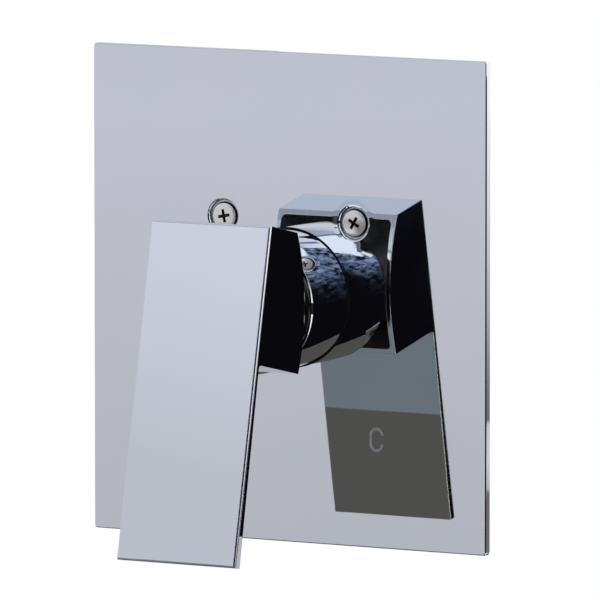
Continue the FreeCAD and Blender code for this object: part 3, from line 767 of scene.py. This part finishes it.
def inside_head(tree):
    """1 on the walls inside the handle's head and 0 elsewhere."""
    mapping = add_node(tree, "ShaderNodeMapping", vector_type="TEXTURE")
    mapping.inputs["Location"].default_value = HANDLE_TOP_FRONT
    mapping.inputs["Rotation"].default_value = (math.radians(HANDLE_TILT), 0.0, 0.0)
    tree.links.new(object_point(tree), mapping.inputs["Vector"])
    vector = vector_step(tree, "SUBTRACT", mapping.outputs["Vector"], (0.0, 0.0, INSIDE_MIDDLE))["Vector"]
    vector = vector_step(tree, "ABSOLUTE", vector)["Vector"]
    corner = (INSIDE_HALF_WIDTH - INSIDE_CORNER, 1.0, INSIDE_HALF_HEIGHT - INSIDE_CORNER)
    vector = vector_step(tree, "SUBTRACT", vector, corner)["Vector"]
    vector = vector_step(tree, "MAXIMUM", vector, (0.0, 0.0, 0.0))["Vector"]
    within = calculate(tree, "LESS_THAN", vector_step(tree, "LENGTH", vector)["Value"], INSIDE_CORNER)
    behind = calculate(tree, "GREATER_THAN", parts_of(tree, mapping.outputs["Vector"])["Y"], INSIDE_FRONT)
    return calculate(tree, "MULTIPLY", within, behind)


def make_handle_chrome():
    """Bright outside with rounded edges; inside the head the colour is darker, duller and less metallic."""
    material, tree, shader = polished("handle_chrome")
    inside = inside_head(tree)
    dull = mottled(tree, *INSIDE_NOISE, INSIDE_SPAN, INSIDE_SHADES)
    tree.links.new(mixed(tree, "MIX", inside, plating_colour(tree), dull), shader.inputs["Base Color"])
    rough = calculate(tree, "MULTIPLY_ADD", inside, INSIDE_ROUGHNESS, plating_roughness(tree))
    tree.links.new(rough, shader.inputs["Roughness"])
    tree.links.new(remap(tree, inside, 0.0, 1.0, 1.0, INSIDE_METALLIC), shader.inputs["Metallic"])
    edges = add_node(tree, "ShaderNodeBevel", samples=HANDLE_EDGE_SAMPLES)
    edges.inputs["Radius"].default_value = HANDLE_EDGE
    waves = bump(tree, noise(tree, *HANDLE_WAVES), HANDLE_WAVE_DEPTH, edges.outputs["Normal"])
    tree.links.new(waves, shader.inputs["Normal"])
    return material


def make_finishes():
    """Materials by the name of a node or of a material slot; the painted shade of the recesses is only used
    in this script.
    """
    return {
        "face_plate": make_plate_chrome(),
        "sleeve": make_sleeve_chrome(),
        "polished_chrome": make_handle_chrome(),
        "foam": finish("foam_cells", ((0.035, 0.035, 0.037), (0.075, 0.075, 0.078)),
                       patch=1.5 * MM, rough=(0.85, 0.98), rough_patch=2.0 * MM,
                       grains=[(1.2 * MM, 0.6 * MM), (0.4 * MM, 0.2 * MM)]),
        "screw_steel": finish("nickel_steel", ((0.84, 0.81, 0.78), (0.93, 0.90, 0.87)),
                              patch=2.0 * MM, rough=(0.16, 0.24), rough_patch=1.0 * MM,
                              grains=[(0.6 * MM, 0.004 * MM)], metallic=0.72),
        # Painted shade: dark brown steel for the screws' cross recesses and the sides of their heads
        "recess_painted_shade": finish("recess_steel_painted_shade", ((0.035, 0.028, 0.022), (0.090, 0.072, 0.058)),
                               patch=1.0 * MM, rough=(0.42, 0.58), rough_patch=1.0 * MM,
                               grains=[(0.5 * MM, 0.03 * MM)], metallic=1.0),
        "black_rubber": finish("rubber", ((0.004, 0.004, 0.004), (0.009, 0.009, 0.009)),
                               patch=4.0 * MM, rough=(0.55, 0.72), rough_patch=3.0 * MM,
                               grains=[(0.5 * MM, 0.02 * MM)], specular=0.1),
        "cast_brass": finish("sand_cast_brass", ((0.60, 0.42, 0.16), (0.74, 0.54, 0.24)),
                             patch=12.0 * MM, rough=(0.36, 0.52), rough_patch=4.0 * MM,
                             grains=[(0.9 * MM, 0.12 * MM), (4.0 * MM, 0.15 * MM)], metallic=1.0),
        "turned_brass": finish("turned_brass", ((0.74, 0.55, 0.25), (0.83, 0.64, 0.33)),
                               patch=6.0 * MM, rough=(0.16, 0.26), rough_patch=2.0 * MM,
                               grains=[(0.3 * MM, 0.01 * MM)], metallic=1.0),
        "fibre": finish("pressed_fibre", ((0.30, 0.055, 0.030), (0.46, 0.10, 0.055)),
                        patch=0.8 * MM, rough=(0.7, 0.9), rough_patch=1.0 * MM,
                        grains=[(0.5 * MM, 0.05 * MM)]),
        "grey_plastic": finish("grey_moulding", ((0.22, 0.225, 0.23), (0.27, 0.275, 0.28)),
                               patch=10.0 * MM, rough=(0.38, 0.5), rough_patch=4.0 * MM,
                               grains=[(0.7 * MM, 0.02 * MM)]),
        "white_plastic": finish("white_moulding", ((0.70, 0.70, 0.68), (0.78, 0.78, 0.76)),
                                patch=10.0 * MM, rough=(0.35, 0.48), rough_patch=4.0 * MM,
                                grains=[(0.7 * MM, 0.02 * MM)]),
        "dark_plastic": finish("dark_moulding", ((0.012, 0.012, 0.013), (0.022, 0.022, 0.024)),
                               patch=10.0 * MM, rough=(0.4, 0.52), rough_patch=4.0 * MM,
                               grains=[(0.7 * MM, 0.02 * MM)]),
        "ceramic": finish("lapped_ceramic", ((0.80, 0.80, 0.78), (0.88, 0.88, 0.86)),
                          patch=3.0 * MM, rough=(0.12, 0.22), rough_patch=2.0 * MM,
                          grains=[(0.4 * MM, 0.004 * MM)]),
        "stem_zinc": finish("cast_zinc", ((0.45, 0.46, 0.47), (0.58, 0.59, 0.60)),
                            patch=6.0 * MM, rough=(0.34, 0.48), rough_patch=3.0 * MM,
                            grains=[(0.8 * MM, 0.04 * MM)], metallic=1.0),
    }


def dress_nodes(nodes, finishes):
    """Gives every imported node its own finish, or that of its slot, which its imported material names."""
    for name, node in nodes.items():
        kind = name if name in finishes else node.data.materials[0].name
        for index in range(len(node.data.materials)):
            node.data.materials[index] = finishes[kind]


# Pieces in finer detail than the solids

def turned_piece(name, profile, material):
    """Smooth piece turned about the valve's axis from a closed profile."""
    bm = bmesh.new()
    lathe(bm, profile, TURNED_SEGMENTS)
    bmesh.ops.remove_doubles(bm, verts=bm.verts, dist=WELD_DISTANCE)
    piece = smooth(new_object(name, bm))
    piece.data.materials.append(material)
    return piece


def make_sleeve(finishes):
    """Cover tube with a bevelled front edge and its inward lip."""
    profile = [(SLEEVE_TAIL_RADIUS, SLEEVE_BACK), (SLEEVE_TAIL_RADIUS, SLEEVE_FOOT)]
    profile += arc(SLEEVE_RADIUS - SLEEVE_FOOT_EDGE, SLEEVE_FOOT - SLEEVE_FOOT_EDGE, SLEEVE_FOOT_EDGE,
                   90, 0, FOOT_STEPS)
    profile += arc(SLEEVE_RADIUS - SLEEVE_EDGE, SLEEVE_FRONT + SLEEVE_BEVEL + EDGE_TANGENT * SLEEVE_EDGE,
                   SLEEVE_EDGE, 0, -45, BEVEL_STEPS)
    profile += arc(SLEEVE_RADIUS - SLEEVE_BEVEL - EDGE_TANGENT * SLEEVE_INNER_EDGE,
                   SLEEVE_FRONT + SLEEVE_INNER_EDGE, SLEEVE_INNER_EDGE, -45, -90, BEVEL_STEPS)
    profile += arc(SLEEVE_LIP_RADIUS + SLEEVE_LIP / 2, SLEEVE_FRONT + SLEEVE_LIP / 2, SLEEVE_LIP / 2,
                   -90, -270, LIP_STEPS)
    profile += [(SLEEVE_BORE, SLEEVE_FRONT + SLEEVE_LIP), (SLEEVE_BORE, SLEEVE_COLLAR),
                (SLEEVE_THREAD, SLEEVE_COLLAR), (SLEEVE_THREAD, SLEEVE_BACK),
                (SLEEVE_TAIL_RADIUS, SLEEVE_BACK)]
    tube = turned_piece("sleeve_tube", profile, finishes["sleeve"])
    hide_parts("sleeve")
    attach(tube, "root")


def make_seal(finishes):
    """Rubber ring whose thin rim shows around the foot of the sleeve."""
    profile = [(SEAL_BORE, PLATE_FRONT), (SEAL_RADIUS, PLATE_FRONT), (SEAL_RADIUS, SEAL_FRONT),
               (SEAL_BORE, SEAL_FRONT), (SEAL_BORE, PLATE_FRONT)]
    ring = turned_piece("seam_seal", profile, finishes["black_rubber"])
    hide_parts("sleeve_seal")
    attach(ring, "root")


def bar_cutter(angle, x, z, front, finishes):
    """Tapered bar, one of the two that sink the cross recess into a screw head; the faces it cuts take its
    painted shade.
    """
    turn = math.radians(angle)
    bm = bmesh.new()
    rings = []
    for share, y in ((1.0 + CROSS_TAPER * HEAD_DOME / CROSS_DEPTH, front - HEAD_DOME),
                     (1.0 - CROSS_TAPER, front + CROSS_DEPTH)):
        ring = []
        for along, across in ((-CROSS_REACH, -CROSS_HALF_WIDTH), (CROSS_REACH, -CROSS_HALF_WIDTH),
                              (CROSS_REACH, CROSS_HALF_WIDTH), (-CROSS_REACH, CROSS_HALF_WIDTH)):
            spot_x = share * (along * math.cos(turn) - across * math.sin(turn))
            spot_z = share * (along * math.sin(turn) + across * math.cos(turn))
            ring.append(bm.verts.new((x + spot_x, y, z + spot_z)))
        rings.append(ring)
    grid_faces(bm, rings)
    for ring in rings:
        bm.faces.new(ring)
    cutter = new_object("bar_cutter", bm)
    cutter.data.materials.append(finishes["recess_painted_shade"])
    return cutter


def add_shank(bm, x, z):
    """Threaded shank with its point, closed at both ends."""
    length = SHANK_END - SHANK_POINT - HEAD_BACK
    places = thread_rows(length, SHANK_PITCH, SHANK_ROOT, SHANK_CREST, SHANK_PITCH, SHANK_SEGMENTS)
    rows = []
    for place, radii in places:
        rows.append([bm.verts.new(ring_point(x, HEAD_BACK + place, z, radius, step, SHANK_SEGMENTS))
                     for step, radius in enumerate(radii)])
    rows.append([bm.verts.new(ring_point(x, SHANK_END, z, SHANK_ROOT - SHANK_POINT, step, SHANK_SEGMENTS))
                 for step in range(SHANK_SEGMENTS)])
    grid_faces(bm, rows)
    bm.faces.new(rows[-1])
    bm.faces.new(rows[0])


def cut_head(angle, x, z, finishes):
    """One screw head with its cross recess, as mesh data."""
    rim_front = HEAD_BACK - HEAD_RIM
    rim_radius = HEAD_RADIUS - HEAD_ROUNDING
    dome_radius = (rim_radius ** 2 + HEAD_DOME ** 2) / (2 * HEAD_DOME)
    profile = [(0, HEAD_BACK), (HEAD_RADIUS, HEAD_BACK)]
    profile += arc(rim_radius, rim_front + HEAD_ROUNDING, HEAD_ROUNDING, 0, HEAD_ROUNDING_END,
                   HEAD_ROUNDING_STEPS)
    for step in range(1, DOME_STEPS):
        radius = rim_radius * (1 - step / DOME_STEPS)
        rise = math.sqrt(dome_radius ** 2 - radius ** 2) - (dome_radius - HEAD_DOME)
        profile.append((radius, rim_front - rise))
    profile.append((0, rim_front - HEAD_DOME))
    bm = bmesh.new()
    lathe(bm, profile, HEAD_SEGMENTS, x, z)
    head = new_object("screw_head", bm)
    head.data.materials.append(finishes["screw_steel"])
    cutters = []
    for turn in (angle, angle + 90.0):
        cutter = bar_cutter(turn, x, z, rim_front - HEAD_DOME, finishes)
        cut = head.modifiers.new("recess", "BOOLEAN")
        cut.object = cutter
        cut.operation = "DIFFERENCE"
        cut.solver = "EXACT"
        # The cut faces take the cutter's dark colour, painted shade in the recess
        cut.material_mode = "TRANSFER"
        cutters.append(cutter)
    seen = head.evaluated_get(bpy.context.evaluated_depsgraph_get())
    mesh = bpy.data.meshes.new_from_object(seen)
    bpy.data.objects.remove(head)
    for cutter in cutters:
        bpy.data.objects.remove(cutter)
    return mesh


def make_screws(finishes):
    """Both plate screws; recesses and the sides of the heads get painted shade."""
    bm = bmesh.new()
    for side, angle in zip((-1, 1), SCREW_TURNS):
        mesh = cut_head(angle, side * SCREW_X, SCREW_Z, finishes)
        bm.from_mesh(mesh)
        bpy.data.meshes.remove(mesh)
        add_shank(bm, side * SCREW_X, SCREW_Z)
    screws = smooth(new_object("cross_head_screws", bm))
    # Painted shade on the steep sides of the heads, which lie in the seat's shadow
    for face in screws.data.polygons:
        reach = math.hypot(abs(face.center.x) - SCREW_X, face.center.z - SCREW_Z)
        if reach > HEAD_SHADE_REACH and abs(face.normal.y) < HEAD_SHADE_FACING:
            face.material_index = PAINTED_SHADE_INDEX
    screws.data.materials.append(finishes["screw_steel"])
    screws.data.materials.append(finishes["recess_painted_shade"])
    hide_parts("plate_screws")
    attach(screws, "root")


def make_port_threads(finishes):
    """Pipe threads inside the hot, cold and shower connections."""
    crest = PORT_RADIUS - PORT_THREAD_DEPTH
    places = thread_rows(PORT_THREAD_LENGTH, PORT_PITCH, PORT_RADIUS, crest, PORT_LEAD, PORT_SEGMENTS)
    for name, along in (("hot_port_thread", Vector((-1, 0, 0))), ("cold_port_thread", Vector((1, 0, 0))),
                        ("shower_port_thread", Vector((0, 0, 1)))):
        aside = Vector((0, 1, 0))
        third = along.cross(aside)
        bm = bmesh.new()
        rows = []
        for place, radii in places:
            row = []
            for step, radius in enumerate(radii):
                angle = 2 * math.pi * step / PORT_SEGMENTS
                spot = along * (PORT_REACH - PORT_LEAD - place)
                spot = spot + aside * (PORT_DEPTH + radius * math.cos(angle))
                spot = spot + third * radius * math.sin(angle)
                row.append(bm.verts.new(spot))
            rows.append(row)
        grid_faces(bm, rows)
        thread = smooth(new_object(name, bm))
        thread.data.materials.append(finishes["turned_brass"])
        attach(thread, "root")


# Marks

def extruded_band(bm, outer, inner, front, back):
    """Solid between two open rows of x, z points, from the front to the back plane."""
    rows = [[bm.verts.new((x, y, z)) for x, z in row] for row in (outer, inner) for y in (front, back)]
    outer_front, outer_back, inner_front, inner_back = rows
    for index in range(len(outer) - 1):
        following = index + 1
        for one, other in ((outer_front, inner_front), (inner_front, inner_back),
                           (inner_back, outer_back), (outer_back, outer_front)):
            bm.faces.new((one[index], one[following], other[following], other[index]))
    for end in (0, -1):
        bm.faces.new((outer_front[end], inner_front[end], inner_back[end], outer_back[end]))


def make_cold_mark():
    """The letter for cold, to the right of the lever."""
    half_stroke = MARK_STROKE / 2
    straight = MARK_HALF_HEIGHT - MARK_HALF_WIDTH
    rows = []
    for reach in (MARK_HALF_WIDTH + half_stroke, MARK_HALF_WIDTH - half_stroke):
        row = [(MARK_X + reach, MARK_Z + MARK_OPENING)]
        for start, shift in ((0.0, straight), (math.pi, -straight)):
            for step in range(MARK_ARC_STEPS + 1):
                angle = start + math.pi * step / MARK_ARC_STEPS
                row.append((MARK_X + reach * math.cos(angle), MARK_Z + shift + reach * math.sin(angle)))
        row.append((MARK_X + reach, MARK_Z - MARK_OPENING))
        rows.append(row)
    bm = bmesh.new()
    extruded_band(bm, rows[0], rows[1], PLATE_FRONT - MARK_THICKNESS, PLATE_FRONT)
    return new_object("cold_mark", bm)


def make_hot_mark():
    """The letter for hot, to the left of the lever: two uprights and a bar."""
    half_stroke = MARK_STROKE / 2
    reach = MARK_HALF_WIDTH + half_stroke
    inner = MARK_HALF_WIDTH - half_stroke
    tall = MARK_HALF_HEIGHT + half_stroke
    corners = [(-reach, -tall), (-inner, -tall), (-inner, -half_stroke), (inner, -half_stroke),
               (inner, -tall), (reach, -tall), (reach, tall), (inner, tall), (inner, half_stroke),
               (-inner, half_stroke), (-inner, tall), (-reach, tall)]
    bm = bmesh.new()
    front = [bm.verts.new((x - MARK_X, PLATE_FRONT - MARK_THICKNESS, z + MARK_Z)) for x, z in corners]
    back = [bm.verts.new((x - MARK_X, PLATE_FRONT, z + MARK_Z)) for x, z in corners]
    bm.faces.new(front)
    bm.faces.new(back)
    for index in range(len(corners)):
        following = (index + 1) % len(corners)
        bm.faces.new((front[index], front[following], back[following], back[index]))
    return new_object("hot_mark", bm)


def make_marks():
    etched = finish("etched_chrome", ((0.60, 0.60, 0.595), (0.72, 0.72, 0.715)),
                    patch=2.0 * MM, rough=(0.38, 0.5), rough_patch=1.0 * MM,
                    grains=[(0.3 * MM, 0.01 * MM)], metallic=1.0)
    for mark in (make_cold_mark(), make_hot_mark()):
        mark.data.materials.append(etched)
        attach(mark, "root")


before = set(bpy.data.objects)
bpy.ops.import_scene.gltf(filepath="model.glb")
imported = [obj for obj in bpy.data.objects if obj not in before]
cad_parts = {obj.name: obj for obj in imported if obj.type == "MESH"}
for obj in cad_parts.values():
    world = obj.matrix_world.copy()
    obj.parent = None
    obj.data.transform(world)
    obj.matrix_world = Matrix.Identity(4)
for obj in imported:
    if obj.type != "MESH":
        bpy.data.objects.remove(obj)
clear_startup_objects()
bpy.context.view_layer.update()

scene = bpy.context.scene
scene.view_settings.view_transform = "Standard"

make_world()
make_floor()
make_boards()
make_lamp("key_lamp", *KEY_LAMP)
make_lamp("back_lamp", *BACK_LAMP)
make_camera()

finishes = make_finishes()
dress_nodes(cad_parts, finishes)
make_sleeve(finishes)
make_seal(finishes)
make_screws(finishes)
make_port_threads(finishes)
make_marks()
